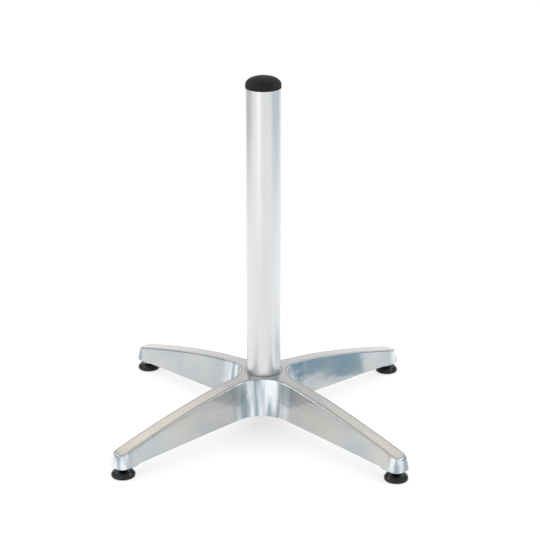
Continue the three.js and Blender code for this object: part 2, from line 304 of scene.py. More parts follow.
def cut_or_join(piece, tool, operation):
    """Applies one exact boolean to the piece and removes the tool."""
    modifier = piece.modifiers.new(operation.lower(), "BOOLEAN")
    modifier.object = tool
    modifier.operation = operation
    modifier.solver = "EXACT"
    modifier.material_mode = "TRANSFER"
    evaluated = piece.evaluated_get(bpy.context.evaluated_depsgraph_get())
    result = bpy.data.meshes.new_from_object(evaluated)
    piece.modifiers.remove(modifier)
    piece.data = result
    bpy.data.objects.remove(tool)


# ---------------------------------------------------------------- casting

def top_height(radius):
    along = np.maximum(0, radius - HUB_FLAT_RADIUS) / (ARM_END_RADIUS - HUB_FLAT_RADIUS)
    return HUB_TOP - ARM_DROP * along ** ARM_DROP_POWER


def arch_height(radius):
    return ARCH_END + ARCH_RISE * (1 - np.minimum(1, radius / FOOT_CIRCLE) ** ARCH_POWER)


def tip_quarter(centre, radius):
    """One side of an arm's squarish tip, from its flank to its end, as (along, across)."""
    angle = np.radians(np.linspace(90, 0, TIP_STEPS + 1))
    power = 2 / TIP_SQUARENESS
    return np.column_stack([centre + radius * np.cos(angle) ** power, radius * np.sin(angle) ** power])


def half_outline(half_width, tip_radius, tip_centre=FOOT_CIRCLE, fillet=WEB_FILLET):
    """Half of one arm's outline as (along, across): web between two arms, side, tip."""
    centre = half_width + fillet
    web = np.radians(np.linspace(225, 270, WEB_STEPS + 1))
    side = np.arange(1, SIDE_STEPS) / SIDE_STEPS
    web_points = np.column_stack([centre + fillet * np.cos(web), centre + fillet * np.sin(web)])
    side_points = np.column_stack([lerp(centre, tip_centre, side), lerp(half_width, tip_radius, side)])
    return np.vstack([web_points, side_points, tip_quarter(tip_centre, tip_radius)])


def cross_outline(half):
    """The whole X outline, anticlockwise: each arm runs from its right web to its left."""
    right = half * [1, -1]
    arm = np.vstack([right, half[-2:0:-1]])
    turned_arms = []
    for degrees in (45, 135, 225, 315):
        c, s = math.cos(math.radians(degrees)), math.sin(math.radians(degrees))
        turned_arms.append(np.column_stack([arm[:, 0] * c - arm[:, 1] * s, arm[:, 0] * s + arm[:, 1] * c]))
    return np.vstack(turned_arms)


def cross_ring(half, height):
    outline = cross_outline(half)
    return np.column_stack([outline, height(np.hypot(outline[:, 0], outline[:, 1]))])


def cross_face(first, centre, tip):
    """An X-shaped face: strips across each arm and four triangles round the middle."""
    faces = []
    count = 8 * tip
    for arm in range(4):
        at = [first + (arm * 2 * tip + k) % count for k in range(2 * tip + 1)]
        for k in range(tip - 1):
            faces.append((at[k], at[k + 1], at[2 * tip - k - 1], at[2 * tip - k]))
        faces.append((at[tip - 1], at[tip], at[tip + 1]))
        faces.append((centre, at[0], at[2 * tip]))
    return faces


def groove_rings():
    """A shallow groove in the top face, beside its rounded edge."""
    rings = []
    for across, down in GROOVE_SECTION:
        reach = EDGE_RADIUS + across * GROOVE_WIDTH
        depth = down * GROOVE_DEPTH
        half = half_outline(TOP_HALF_WIDTH - reach, TOP_TIP_RADIUS - reach, fillet=WEB_FILLET + reach)
        rings.append(cross_ring(half, lambda radius: top_height(radius) - depth))
    return rings


def outer_rings():
    """From the top face's edge, over the rounded edge and down the drafted side to the lip."""
    rings = []
    for degrees in np.linspace(0, SIDE_LEAN, 7):
        angle = math.radians(degrees)
        inset = EDGE_RADIUS * (1 - math.sin(angle))
        depth = EDGE_RADIUS * (1 - math.cos(angle))
        half = half_outline(TOP_HALF_WIDTH - inset, TOP_TIP_RADIUS - inset, fillet=WEB_FILLET + inset)
        rings.append(cross_ring(half, lambda radius: top_height(radius) - depth))
    foot = half_outline(FOOT_LEVEL_HALF_WIDTH, FOOT_LEVEL_TIP_RADIUS)
    lip = cross_ring(foot, lambda radius: arch_height(radius) + LIP_RADIUS)
    rings += [lerp(rings[6], lip, t) for t in np.linspace(0, 1, 9)[1:]]
    return rings


def rim_rings():
    """Round the lip, across the rim and round into the hollow."""
    rings = []
    for degrees in (35, 65, 90):
        angle = math.radians(degrees)
        inset = LIP_RADIUS * (1 - math.cos(angle))
        rise = LIP_RADIUS * (1 - math.sin(angle))
        half = half_outline(FOOT_LEVEL_HALF_WIDTH - inset, FOOT_LEVEL_TIP_RADIUS - inset,
                            fillet=WEB_FILLET + inset)
        rings.append(cross_ring(half, lambda radius: arch_height(radius) + rise))
    return rings


def inside(half_width, inset):
    width = half_width - WALL - inset
    return half_outline(width, width, CAVITY_TIP_CENTRE, WEB_FILLET + WALL + inset)


def cavity_rings():
    mouth = cross_ring(inside(FOOT_LEVEL_HALF_WIDTH, 0), arch_height)
    roof = []
    for degrees in (0, 30, 60, 90):
        angle = math.radians(degrees)
        inset = ROOF_FILLET * (1 - math.cos(angle))
        depth = WALL + ROOF_FILLET * (1 - math.sin(angle))
        roof.append(cross_ring(inside(TOP_HALF_WIDTH, inset), lambda radius: top_height(radius) - depth))
    return [mouth, lerp(mouth, roof[0], 0.5)] + roof


def casting_shell():
    """The closed shell, the indices of its groove's faces and those of the faces inside its hollow."""
    groove = groove_rings()
    outside = groove + outer_rings() + rim_rings()
    rings = outside + cavity_rings()
    count = len(rings[0])
    tip = count // 8
    vertices = np.vstack(rings + [[[0, 0, HUB_TOP]], [[0, 0, HUB_TOP - WALL]]])
    top_centre = len(vertices) - 2
    faces = cross_face(0, top_centre, tip)
    groove_start = len(faces)
    hollow_start = groove_start + len(outside) * count
    for k in range(len(rings) - 1):
        faces += [face[::-1] for face in ring_faces(k * count, (k + 1) * count, count)]
    roof = cross_face((len(rings) - 1) * count, top_centre + 1, tip)
    faces += [face[::-1] for face in roof]
    groove_faces = range(groove_start, groove_start + len(groove) * count)
    return (vertices, faces), groove_faces, range(hollow_start, len(faces))


def arm_rib(degrees):
    """A drafted rib with a rounded lower edge along the middle of one arm."""
    stations = np.linspace(BOSS_RADIUS - 2 * JOIN_OVERLAP, FOOT_CIRCLE - RIB_END_GAP, 25)
    half = RIB_THICKNESS / 2
    lower_edge = [(half * math.cos(a), -half * math.sin(a)) for a in np.radians(np.linspace(0, 180, 7))]
    rows = []
    for along in stations:
        low = arch_height(along) + RIB_LIFT + half
        high = top_height(along) - WALL / 2
        row = [(along, half * RIB_DRAFT, high)]
        row += [(along, across, low + level) for across, level in lower_edge]
        rows.append(row + [(along, -half * RIB_DRAFT, high)])
    vertices = np.array(rows).reshape(-1, 3)
    width = len(rows[0])
    faces = [tuple(range(width)), tuple(reversed(range(len(vertices) - width, len(vertices))))]
    for k in range(len(rows) - 1):
        faces += [face[::-1] for face in ring_faces(k * width, (k + 1) * width, width)]
    return turned_about_axis(vertices, math.radians(degrees)), faces


def boss_outline(radius):
    """Anticlockwise outline of the level pad under an arm's tip: a squarish end and a round one."""
    tip = tip_quarter(FOOT_CIRCLE, radius)
    back = np.radians(np.linspace(270, 90, 2 * TIP_STEPS))
    centre = FOOT_CIRCLE - FOOT_BOSS_LENGTH
    round_end = np.column_stack([centre + radius * np.cos(back), radius * np.sin(back)])
    return np.vstack([tip, tip[-2::-1] * [1, -1], round_end])[::-1]


def foot_boss(place):
    """The level pad with a rounded lower edge, turned to the arm that ends over a foot's place."""
    levels = []
    for angle in np.radians([0, 30, 60, 90]):
        levels.append((FOOT_BOSS_RADIUS - LIP_RADIUS * (1 - math.sin(angle)),
                       FOOT_BOSS_BOTTOM + LIP_RADIUS * (1 - math.cos(angle))))
    levels.append((FOOT_BOSS_RADIUS, ARCH_END + JOIN_OVERLAP))
    rings = []
    for radius, height in levels:
        outline = boss_outline(radius)
        rings.append(np.column_stack([outline, np.full(len(outline), height)]))
    count = len(rings[0])
    last = len(rings) - 1
    faces = [tuple(reversed(range(count))), tuple(range(last * count, (last + 1) * count))]
    for k in range(last):
        faces += ring_faces(k * count, (k + 1) * count, count)
    return turned_about_axis(np.vstack(rings), math.atan2(place.y, place.x)), faces


def foot_bore():
    """Pocket for a foot's threaded insert, and above it the blind bore that its stud turns in."""
    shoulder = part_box("foot_1_insert")[1].z / MM + INSERT_GAP
    blind_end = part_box("foot_1_stud")[1].z / MM + STUD_BORE_SPARE
    return revolve([(0, 0), (INSERT_POCKET, 0), (INSERT_POCKET, shoulder), (STUD_BORE, shoulder),
                    (STUD_BORE, blind_end), (0, blind_end)], SMALL_ROUND)


def hub_boss():
    """The drafted boss under the hub that the tie rod's nut pulls up against."""
    roof = HUB_TOP - WALL / 2
    return revolve(rounded([(0, BOSS_BOTTOM), (BOSS_RADIUS, BOSS_BOTTOM), (BOSS_RADIUS + BOSS_DRAFT, roof),
                            (0, roof)], BOSS_ROUNDING), 72)


def hub_spigot():
    """The round spigot on the hub that the column's tube sits over."""
    bottom = HUB_TOP - JOIN_OVERLAP
    return revolve(rounded([(0, bottom), (SPIGOT_RADIUS, bottom), (SPIGOT_RADIUS, SPIGOT_TOP),
                            (0, SPIGOT_TOP)], SPIGOT_ROUNDING), 72)


def seat_ring():
    """The fine ring turned into the hub's top round the column."""
    inner, outer = SEAT_RADIUS - SEAT_WIDTH / 2, SEAT_RADIUS + SEAT_WIDTH / 2
    bottom, top = HUB_TOP - SEAT_DEPTH, HUB_TOP + JOIN_OVERLAP
    return revolve([(inner, bottom), (outer, bottom), (outer, top), (inner, top)])


def rod_bore():
    bottom, top = BOSS_BOTTOM - CUT_OVERRUN, SPIGOT_TOP + CUT_OVERRUN
    return revolve([(0, bottom), (ROD_CLEARANCE, bottom), (ROD_CLEARANCE, top), (0, top)], SMALL_ROUND)


def build_casting(polished, as_cast, groove):
    shell, groove_faces, hollow_faces = casting_shell()
    # The third material is painted shade, for the grooves beside the top edges
    casting = mesh_object("casting", shell, [polished, as_cast, groove], hollow_faces, groove_faces)
    for degrees in (45, 135, 225, 315):
        cut_or_join(casting, mesh_object("rib_tool", arm_rib(degrees), [as_cast]), "UNION")
    cut_or_join(casting, mesh_object("boss_tool", hub_boss(), [as_cast]), "UNION")
    cut_or_join(casting, mesh_object("spigot_tool", hub_spigot(), [polished]), "UNION")
    foot_bosses = merged([foot_boss(place) for place in FOOT_PLACES])
    cut_or_join(casting, mesh_object("foot_boss_tool", foot_bosses, [polished]), "UNION")
    # The seat ring takes the painted shade material, a dark ring round the column
    cut_or_join(casting, mesh_object("seat_tool", seat_ring(), [groove]), "DIFFERENCE")
    bores = merged([rod_bore()] + [moved(foot_bore(), p.x, p.y) for p in FOOT_PLACES])
    cut_or_join(casting, mesh_object("bore_tool", bores, [as_cast]), "DIFFERENCE")
    finished(casting, "base", "base_casting", sharp=30)


# ---------------------------------------------------------------- turned parts and hardware

def placed_at(node, shape):
    """The shape moved so that its axis and its lowest point are those of a CAD node."""
    low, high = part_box(node)
    vertices, faces = shape
    middle = (low + high) / 2 / MM
    return vertices + np.array([middle.x, middle.y, low.z / MM - vertices[:, 2].min()]), faces


def size_of(node):
    low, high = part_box(node)
    return (high - low) / MM


def add_part(node, shape, body, material):
    piece = mesh_object(f"{node}_fine", placed_at(node, shape), [material])
    finished(piece, body, node)


def column_tube():
    """The column, counterbored at its top so that the anchor disc has a shoulder to pull on."""
    height = TUBE_TOP - TUBE_BOTTOM
    shoulder = height - COUNTERBORE_DEPTH
    bore, counterbore = TUBE_RADIUS - TUBE_WALL, TUBE_RADIUS - COUNTERBORE_WALL
    return revolve(rounded([(bore, 0), (TUBE_RADIUS, 0), (TUBE_RADIUS, height), (counterbore, height),
                            (counterbore, shoulder), (bore, shoulder)], 0.5))


def crown_height(radius, rise):
    return rise * (1 - (radius / CAP_RADIUS) ** CAP_CROWN_POWER) ** (1 / CAP_CROWN_POWER)


def column_cap():
    """A crowned head with a soft edge, over a hollow skirt with crush ribs."""
    seat = TUBE_TOP + CAP_GAP
    shoulder = seat + CAP_SIDE
    crown = CAP_TOP - shoulder
    crown_wall = CAP_WALL * 1.5
    skirt_outer, skirt_bottom = TUBE_RADIUS - SKIRT_INSET, TUBE_TOP - SKIRT_LENGTH
    skirt_inner = skirt_outer - CAP_WALL
    angles = np.arange(ROUND) * 2 * math.pi / ROUND
    ridges = np.clip(np.cos(angles * CRUSH_RIBS) * 3 - 2, 0, 1)
    crush = skirt_outer - CRUSH_RIB_HEIGHT + CRUSH_RIB_HEIGHT * ridges
    rows = [(0, CAP_TOP - crown_wall)]
    for radius in np.linspace(6, skirt_inner, 8):
        rows.append((radius, shoulder + crown_height(radius, crown - crown_wall)))
    rows += [(skirt_inner, skirt_bottom + 0.6), (skirt_inner + 0.4, skirt_bottom),
             (skirt_outer - 2 * CRUSH_RIB_HEIGHT, skirt_bottom), (crush, skirt_bottom + 1.2),
             (crush, seat - 0.01)]
    rows += [(CAP_RADIUS - 0.7, seat), (CAP_RADIUS - 0.2, seat + 0.2), (CAP_RADIUS, seat + 0.7)]
    for angle in np.linspace(0, math.pi / 2, 25)[:-1]:
        radius = CAP_RADIUS * math.cos(angle)
        rows.append((radius, shoulder + crown_height(radius, crown)))
    rows.append((0, CAP_TOP))
    return revolve(rows)


def hexagon_radius(flats, segments):
    angles = np.arange(segments) * 2 * math.pi / segments
    return flats / 2 / np.cos((angles % (math.pi / 3)) - math.pi / 6)


def hexagon_rows(flats, bottom, top, segments):
    """Outer rows of a hexagon whose corners are chamfered at both ends."""
    corner = hexagon_radius(flats, segments)
    flat_circle = flats / 2 * 0.96
    chamfer = (corner - flat_circle) * math.tan(math.radians(30))
    return [(flat_circle, bottom), (corner, bottom + chamfer), (corner, top - chamfer), (flat_circle, top)]


def inner_thread(bore, depth, height, chamfer, turns):
    """Zigzag rows down a threaded bore, between the chamfers at its two ends."""
    steps = 2 * turns
    return [(bore + depth * (k % 2), lerp(height - chamfer, chamfer, k / steps)) for k in range(steps + 1)]


def nut(node):
    segments = 144
    chamfer = 0.9
    size = size_of(node)
    mouth = NUT_BORE + chamfer
    outer = hexagon_rows(size.x, 0, size.z, segments)
    thread = inner_thread(NUT_BORE, NUT_THREAD_DEPTH, size.z, chamfer, 8)
    return revolve(outer + [(mouth, size.z)] + thread + [(mouth, 0)], segments)


def washer(node, bore, edge=0.35):
    size = size_of(node)
    radius = size.x / 2
    return revolve(rounded([(bore, 0), (radius, 0), (radius, size.z), (bore, size.z)], edge), 96)


def spring_washer(node):
    """A square-section ring cut at one place, with its ends sprung slightly apart."""
    size = size_of(node)
    outer, inner = size.x / 2, ROD_CLEARANCE
    thick = size.z - SPLIT_SPRING
    stations = 97
    vertices, faces = [], []
    for k in range(stations):
        share = k / (stations - 1)
        angle = math.radians(lerp(4, 356, share))
        rise = lerp(0, size.z - thick, share)
        for radius, height in ((inner, 0), (outer, 0), (outer, thick), (inner, thick)):
            vertices.append((radius * math.cos(angle), radius * math.sin(angle), rise + height))
    for k in range(stations - 1):
        faces += ring_faces(k * 4, k * 4 + 4, 4)
    faces += [(3, 2, 1, 0), tuple(range(len(vertices) - 4, len(vertices)))]
    return np.array(vertices), [face[::-1] for face in faces]


def thread_rows(radius, pitch, depth, bottom, top, segments):
    """Rows of a helical thread: a triangular wave in height that advances with the angle."""
    angles = np.arange(segments) / segments
    rows = []
    for height in np.arange(bottom, top, pitch / 6):
        phase = (height / pitch - angles) % 1
        crest = 1 - np.abs(2 * phase - 1)
        fade = min(1.0, (height - bottom) / pitch, (top - height) / pitch)
        rows.append((radius - depth * fade * (1 - np.clip(crest * 1.25, 0, 1)), height))
    return rows


def tie_rod():
    """A plain rod with a chamfered, threaded stretch at each end."""
    chamfer, gap = 1.2, 0.1
    length = size_of("tie_rod").z
    upper = length - ROD_THREAD_LENGTH
    thread = (ROD_RADIUS, ROD_PITCH, ROD_THREAD_DEPTH)
    rows = [(0, 0), (ROD_RADIUS - chamfer, 0), (ROD_RADIUS, chamfer)]
    rows += thread_rows(*thread, chamfer + gap, ROD_THREAD_LENGTH, SMALL_ROUND)
    rows += [(ROD_RADIUS, ROD_THREAD_LENGTH), (ROD_RADIUS, upper)]
    rows += thread_rows(*thread, upper + gap, length - chamfer - gap, SMALL_ROUND)
    rows += [(ROD_RADIUS, length - chamfer), (ROD_RADIUS - chamfer, length), (0, length)]
    return revolve(rows, SMALL_ROUND)


def foot_insert(node):
    chamfer = 0.9
    size = size_of(node)
    mouth, radius = INSERT_BORE + 2 * INSERT_THREAD_DEPTH, size.x / 2
    thread = inner_thread(INSERT_BORE, INSERT_THREAD_DEPTH, size.z, chamfer, 7)
    outer = rounded([(mouth, 0), (radius, 0), (radius, size.z), (mouth, size.z)], 0.4)
    return revolve(outer + thread, 72)


def foot_stud(node):
    """Captive head, plain neck, chamfered spanner collar and threaded shank."""
    segments = 72
    edge, fillet, chamfer, gap = 0.6, 0.4, 1.2, 0.1
    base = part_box(node)[0].z / MM
    head_top, collar_bottom, collar_top = HEAD_TOP - base, COLLAR_BOTTOM - base, COLLAR_TOP - base
    length = size_of(node).z
    rows = [(0, 0), (HEAD_RADIUS - edge, 0), (HEAD_RADIUS, edge), (HEAD_RADIUS, head_top - edge),
            (HEAD_RADIUS - edge, head_top), (STUD_RADIUS + fillet, head_top),
            (STUD_RADIUS, head_top + fillet), (STUD_RADIUS, collar_bottom)]
    rows += hexagon_rows(COLLAR_FLATS, collar_bottom, collar_top, segments)
    rows += [(STUD_RADIUS, collar_top)]
    rows += thread_rows(STUD_RADIUS, STUD_PITCH, STUD_THREAD_DEPTH, collar_top + gap,
                        length - chamfer - gap, segments)
    rows += [(STUD_RADIUS, length - chamfer), (STUD_RADIUS - chamfer, length), (0, length)]
    return revolve(rows, segments)


def foot_pad(node):
    """A wide disc with a full rim and a fine groove round it, under a cone up to the collar's seat.
    Each point of its outline is (radius, height above the floor, rounding)."""
    pocket_top, recess_top, rim_top = 9.6, 4.3, 6.8
    dish_radius, dish_depth, dish_slope = PAD_BORE + 6.0, 0.7, 0.8
    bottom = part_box(node)[0].z / MM
    radius, top = size_of(node).x / 2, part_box(node)[1].z / MM
    outline = [(PAD_BORE, pocket_top, 0.2), (PAD_POCKET, pocket_top, 0.2), (PAD_POCKET, recess_top, 0.2),
               (PAD_RECESS, recess_top, 0.2), (PAD_RECESS, bottom, 0.3), (radius - 0.5, bottom, 0.9),
               (radius - 0.1, PAD_GROOVE, 0.3), (radius - PAD_GROOVE_DEPTH, PAD_GROOVE + 0.25, 0.1),
               (radius, PAD_GROOVE + 0.6, 0.4), (radius - 0.3, rim_top, 1.8), (PAD_CONE, top, 1.6),
               (dish_radius, top, 0.4), (dish_radius - dish_slope, top - dish_depth, 0.4),
               (PAD_BORE, top - dish_depth, 0.3)]
    profile = [(across, height - bottom) for across, height, _ in outline]
    return revolve(rounded(profile, [corner for _, _, corner in outline]), 96)


def foot_sole(node):
    """The pressed-in base disc, with grip rings underneath."""
    size = size_of(node)
    radius = size.x / 2
    rows = [(0, 0.7), (4, 0.7)]
    for ring in np.arange(5, radius - 1.5, SOLE_RING_PITCH):
        rows += [(ring, 0.5), (ring + 0.3, 0), (ring + 1.2, 0), (ring + 1.5, 0.5)]
    rows += [(radius - 0.9, 0.5), (radius - 0.5, 0), (radius - 0.2, 0.1), (radius, 0.4)]
    rows += [(radius, size.z - 0.4), (radius - 0.4, size.z), (0, size.z)]
    return revolve(rows, 96)


# ---------------------------------------------------------------- materials

class Nodes:
    """A few node-building words, so that each material below reads as a recipe."""

    def __init__(self, name, **settings):
        self.material = bpy.data.materials.new(name)
        self.material.use_nodes = True
        self.tree = self.material.node_tree
        self.shader = self.tree.nodes["Principled BSDF"]
        for socket, value in settings.items():
            self.shader.inputs[socket.replace("_", " ")].default_value = value

    def node(self, kind, inputs=(), **properties):
        made = self.tree.nodes.new(kind)
        for name, value in properties.items():
            setattr(made, name, value)
        for socket, value in dict(inputs).items():
            if isinstance(value, bpy.types.NodeSocket):
                self.tree.links.new(value, made.inputs[socket])
            else:
                made.inputs[socket].default_value = value
        return made

    def math(self, operation, first, second=0.0):
        return self.node("ShaderNodeMath", {0: first, 1: second}, operation=operation).outputs[0]

    def place(self):
        return self.node("ShaderNodeTexCoord").outputs["Object"]

    def scaled(self, vector, scale):
        return self.node("ShaderNodeMapping", {"Vector": vector, "Scale": scale}).outputs[0]

    def noise(self, vector, scale, detail=3.0, roughness=0.5):
        made = self.node("ShaderNodeTexNoise",
                         {"Vector": vector, "Scale": scale, "Detail": detail, "Roughness": roughness})
        return made.outputs["Fac"]

    def spread(self, value, low, high, start=0.3, end=0.7):
        """Maps a noise value from start..end to low..high."""
        return self.node("ShaderNodeMapRange", {"Value": value, "From Min": start, "From Max": end,
                                                "To Min": low, "To Max": high}).outputs["Result"]

    def mix(self, factor, first, second):
        made = self.node("ShaderNodeMixRGB",
                         {"Fac": factor, "Color1": (*first, 1), "Color2": (*second, 1)})
        return made.outputs[0]

    def blend(self, factor, first, second):
        return self.node("ShaderNodeMixRGB", {"Fac": factor, "Color1": first, "Color2": second}).outputs[0]

    def length(self, vector):
        return self.node("ShaderNodeVectorMath", {0: vector}, operation="LENGTH").outputs["Value"]

    def bump(self, height, distance, strength=1.0, normal=None):
        inputs = {"Height": height, "Distance": distance, "Strength": strength}
        if normal is not None:
            inputs["Normal"] = normal
        return self.node("ShaderNodeBump", inputs).outputs["Normal"]

    def to_shader(self, **sockets):
        for socket, value in sockets.items():
            self.tree.links.new(value, self.shader.inputs[socket.replace("_", " ")])
        return self.material

    def split(self, vector):
        return self.node("ShaderNodeSeparateXYZ", {0: vector}).outputs

    def joined(self, x, y, z):
        return self.node("ShaderNodeCombineXYZ", {0: x, 1: y, 2: z}).outputs[0]


def polished_casting():
    """Hand-polished aluminium: cloudy haze of blue-grey and warm painted reflections, soft waves and fine
    marks along each arm, a top face painted grey to beige as a reflection, and upright streaks of painted
    bright and dark reflections where the sides bend round the hub and the tips."""
    n = Nodes("polished_casting", Metallic=1.0)
    x, y, z = n.split(n.place())
    along = n.math("ADD", n.math("ABSOLUTE", x), n.math("ABSOLUTE", y))
    across = n.math("SUBTRACT", n.math("ABSOLUTE", x), n.math("ABSOLUTE", y))
    arm_place = n.joined(along, across, z)
    radius = n.length(n.joined(x, y, 0.0))
    upward = n.split(n.node("ShaderNodeNewGeometry").outputs["Normal"])[2]
    top = n.spread(upward, 0, 1, 0.80, 0.92)
    hub = n.spread(radius, 1, 0, 0.076, 0.112)
    tip = n.spread(radius, 0, 1, 0.365, 0.385)
    # Mask for the bends round the hub and at the tips, where the painted reflection streaks and their
    # bumps go
    bends = n.math("MULTIPLY", n.math("MAXIMUM", hub, tip), n.math("SUBTRACT", 1.0, top))
    haze = n.noise(n.place(), 9.0, 4.0)
    marks = n.noise(n.scaled(arm_place, (14, 900, 900)), 1.0, 4.0, 0.6)
    waves = n.noise(n.scaled(arm_place, (9, 26, 26)), 1.0, 2.0)
    streaks = n.noise(n.scaled(n.place(), (52, 52, 3)), 1.0, 1.5)
    # Painted reflection: the flanks' blue-grey and warm tones, mixed by the haze, stand for reflections of
    # the studio
    flank = n.mix(n.spread(haze, 0, 1, 0.38, 0.62), BLUE_PAINTED_REFLECTION, WARM_PAINTED_REFLECTION)
    # Painted highlights and reflections: dark and bright upright streaks where the sides bend round the
    # hub and the tips
    painted_reflection_streaks = n.mix(n.spread(streaks, 0, 1, 0.40, 0.58), DARK_PAINTED_REFLECTION_STREAK, BRIGHT_PAINTED_REFLECTION_STREAK)
    # Painted reflection: the top faces are grey near the hub and beige further out, as if reflecting warm
    # light
    beige_reflection_share = n.math("MULTIPLY", n.spread(haze, 0.4, 1.0), n.spread(radius, 0, 1, 0.18, 0.34))
    top_painted_reflection = n.blend(top, flank, n.mix(beige_reflection_share, TOP_GREY_PAINTED_REFLECTION, TOP_BEIGE_PAINTED_REFLECTION))
    colour = n.blend(bends, top_painted_reflection, painted_reflection_streaks)
    rough = n.math("ADD", n.spread(haze, 0.13, 0.22), n.spread(marks, -0.03, 0.05))
    normal = n.bump(waves, 0.0025, 0.6, n.bump(marks, 0.00002, 0.6))
    normal = n.bump(n.math("MULTIPLY", streaks, bends), 0.0008, 0.5, normal)
    return n.to_shader(Base_Color=colour, Roughness=rough, Normal=normal)


def groove_painted_shade():
    """The narrow line beside each top edge and the seat ring round the column, painted dark as shade in
    these grooves.
    """
    n = Nodes("groove_painted_shade", Metallic=1.0)
    groove_mottle = n.noise(n.place(), 30.0, 4.0)
    # Painted shade: dark grey tones stand for the shade inside the grooves
    colour = n.mix(n.spread(groove_mottle, 0, 1), (0.17, 0.17, 0.165), (0.36, 0.36, 0.35))
    return n.to_shader(Base_Color=colour, Roughness=n.spread(groove_mottle, 0.25, 0.4))


def as_cast_aluminium():
    """The unpolished hollow: a dull, sandy casting skin."""
    n = Nodes("as_cast_aluminium", Metallic=1.0)
    grain = n.noise(n.place(), 1500.0, 3.0, 0.7)
    cloud = n.noise(n.place(), 40.0, 4.0)
    colour = n.mix(n.spread(cloud, 0, 1), (0.40, 0.41, 0.42), (0.55, 0.55, 0.55))
    return n.to_shader(Base_Color=colour, Roughness=n.spread(cloud, 0.5, 0.68),
                       Normal=n.bump(grain, 0.0004, 0.7))


def drawn_tube():
    """Bright drawn aluminium tube: faint draw lines along its length and a light haze."""
    n = Nodes("drawn_tube", Metallic=1.0)
    x, y, z = n.split(n.place())
    angle = n.math("ARCTAN2", y, x)
    drawn = n.joined(n.math("MULTIPLY", angle, 110.0), n.math("MULTIPLY", z, 3.0), 0.0)
    lines = n.noise(drawn, 1.0, 5.0, 0.65)
    haze = n.noise(n.scaled(n.place(), (12, 12, 4)), 1.0, 3.0)
    colour = n.mix(n.spread(haze, 0, 1), (0.64, 0.65, 0.665), (0.70, 0.70, 0.70))
    rough = n.math("ADD", n.spread(haze, 0.29, 0.35), n.spread(lines, -0.03, 0.05))
    return n.to_shader(Base_Color=colour, Roughness=rough, Normal=n.bump(lines, 0.00003, 0.5))


def moulded_plastic(name, dark, light, rough_low, rough_high, grain_depth, shine=0.5):
    """Moulded black plastic: fine mould grain, uneven gloss and a few rubbed patches."""
    n = Nodes(name, Specular_IOR_Level=shine)
    grain = n.noise(n.place(), 1800.0, 2.0)
    cloud = n.noise(n.place(), 55.0, 5.0, 0.6)
    colour = n.mix(n.spread(cloud, 0, 1, 0.35, 0.75), dark, light)
    return n.to_shader(Base_Color=colour, Roughness=n.spread(cloud, rough_low, rough_high),
                       Normal=n.bump(grain, grain_depth, 0.6))


def turned_metal(name, dark, light, rough_low, rough_high):
    """Plated or turned hardware: concentric tool marks and a slightly uneven coat."""
    n = Nodes(name, Metallic=1.0)
    cloud = n.noise(n.place(), 130.0, 4.0, 0.6)
    marks = n.noise(n.scaled(n.place(), (300, 300, 4000)), 1.0, 3.0)
    colour = n.mix(n.spread(cloud, 0, 1), dark, light)
    return n.to_shader(Base_Color=colour, Roughness=n.spread(cloud, rough_low, rough_high),
                       Normal=n.bump(marks, 0.00003, 0.6))


def pale_floor():
    """White paper, partly lit through from below so that shadows on it stay faint."""
    n = Nodes("pale_floor", Specular_IOR_Level=0.1, Emission_Color=(1.0, 1.0, 1.0, 1.0),
              Emission_Strength=FLOOR_GLOW)
    cloud = n.noise(n.place(), 3.0, 3.0)
    colour = n.mix(n.spread(cloud, 0, 1), (0.42, 0.42, 0.42), (0.44, 0.44, 0.44))
    return n.to_shader(Base_Color=colour, Roughness=n.spread(cloud, 0.7, 0.8))


def studio_card(name, colour, glow):
    """Paper for the cards that the polished metal reflects."""
    n = Nodes(name, Specular_IOR_Level=0.0, Emission_Color=(*colour, 1.0), Emission_Strength=glow)
    cloud = n.noise(n.place(), 2.0, 2.0)
    return n.to_shader(Base_Color=n.mix(n.spread(cloud, 0, 1), (0.0, 0.0, 0.0), (0.02, 0.02, 0.02)),
                       Roughness=n.spread(cloud, 0.85, 0.95))


# ---------------------------------------------------------------- studio

def build_camera():
    """The photograph's viewpoint, kept in foot-circle radii so that it follows the part's size."""
    radius = FOOT_CIRCLE * MM
    distance, height = CAMERA_DISTANCE * radius, CAMERA_HEIGHT * radius
    azimuth = math.radians(CAMERA_AZIMUTH)
    data = bpy.data.cameras.new("camera")
    data.sensor_width = SENSOR
    data.lens = LENS
    camera = bpy.data.objects.new("camera", data)
    camera.location = (distance * math.sin(azimuth), -distance * math.cos(azimuth), height)
    camera.rotation_euler = (math.radians(90 - CAMERA_PITCH), 0, math.radians(CAMERA_HEADING))
    bpy.context.scene.collection.objects.link(camera)
    bpy.context.scene.camera = camera


def area_light(name, place, target, size, power, colour=(1, 1, 1)):
    data = bpy.data.lights.new(name, "AREA")
    data.shape = "RECTANGLE"
    data.size, data.size_y = size
    data.energy = power
    data.color = colour
    light = bpy.data.objects.new(name, data)
    light.location = place
    light.rotation_euler = (Vector(target) - Vector(place)).to_track_quat("-Z", "Y").to_euler()
    light.visible_camera = False
    bpy.context.scene.collection.objects.link(light)


def upright_card(name, azimuth, distance, width, height, material):
    """A card standing on the floor and facing the column, which only the metal's gloss sees.
    Azimuths run clockwise from the camera's side of the column."""
    angle = math.radians(azimuth)
    towards = np.array([-math.sin(angle), -math.cos(angle), 0.0])
    sideways = np.array([math.cos(angle), -math.sin(angle), 0.0])
    corners = [towards * distance + sideways * width * across + np.array([0, 0, height]) * up
               for across, up in ((-0.5, 0), (0.5, 0), (0.5, 1), (-0.5, 1))]
    card = mesh_object(name, (np.array(corners) / MM, [(0, 1, 2, 3)]), [material])
    card.visible_camera = False
    card.visible_diffuse = False
    card.visible_shadow = False


